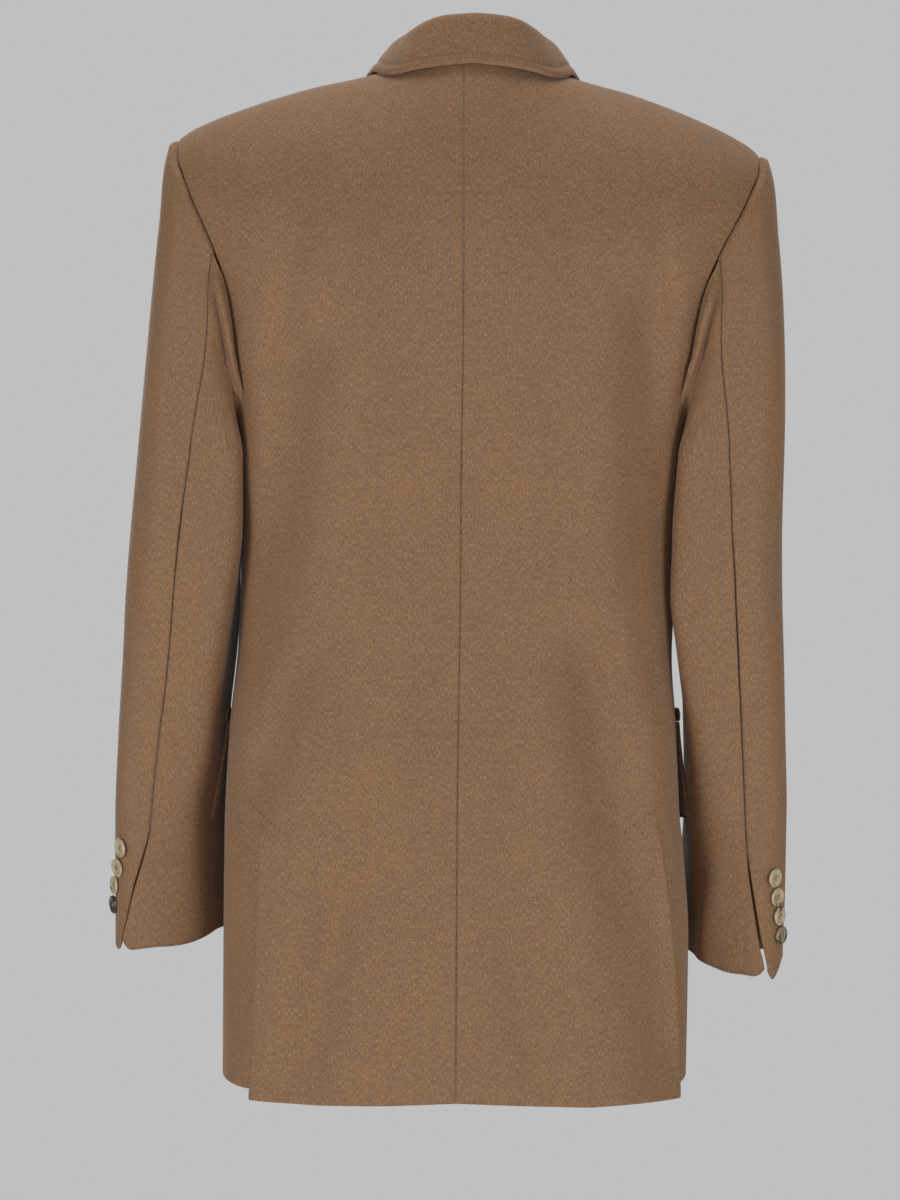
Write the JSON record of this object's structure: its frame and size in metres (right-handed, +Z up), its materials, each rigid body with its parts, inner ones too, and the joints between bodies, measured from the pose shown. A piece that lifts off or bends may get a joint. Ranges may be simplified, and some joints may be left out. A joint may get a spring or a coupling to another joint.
{
  "type": "double-breasted blazer",
  "caption": "Hip-length double-breasted wool blazer with peak lapels, flap pockets, side vents and buttoned cuffs, in its hollow worn form.",
  "frame": {"origin": "middle of the neck, level with the shoulders, where the wearer holds the blazer up", "axes": "+Z up along the body, +X towards the wearer's left, -Y the way the wearer faces"},
  "size_m": [0.5282, 0.2531, 0.8281],
  "materials": {
    "wool_flannel": "matt",
    "horn": "gloss",
    "dark_horn": "gloss"
  },
  "bodies": {
    "root": {"back_left": "wool_flannel", "back_right": "wool_flannel", "collar": "wool_flannel", "cuff_button_left_1": "horn", "cuff_button_left_2": "horn", "cuff_button_left_3": "horn", "cuff_button_left_4": "dark_horn", "cuff_button_right_1": "horn", "cuff_button_right_2": "horn", "cuff_button_right_3": "horn", "cuff_button_right_4": "dark_horn", "front_button_left_1": "horn", "front_button_left_2": "horn", "front_button_left_3": "horn", "front_button_right_1": "horn", "front_button_right_2": "horn", "front_button_right_3": "horn", "front_left": "wool_flannel", "front_right": "wool_flannel", "lapel_left": "wool_flannel", "lapel_right": "wool_flannel", "pocket_flap_left": "wool_flannel", "pocket_flap_right": "wool_flannel", "pocket_jet_left": "wool_flannel", "pocket_jet_right": "wool_flannel", "side_left": "wool_flannel", "side_right": "wool_flannel", "under_sleeve_left": "wool_flannel", "under_sleeve_right": "wool_flannel", "upper_sleeve_left": "wool_flannel", "upper_sleeve_right": "wool_flannel"}
  },
  "joints": []
}
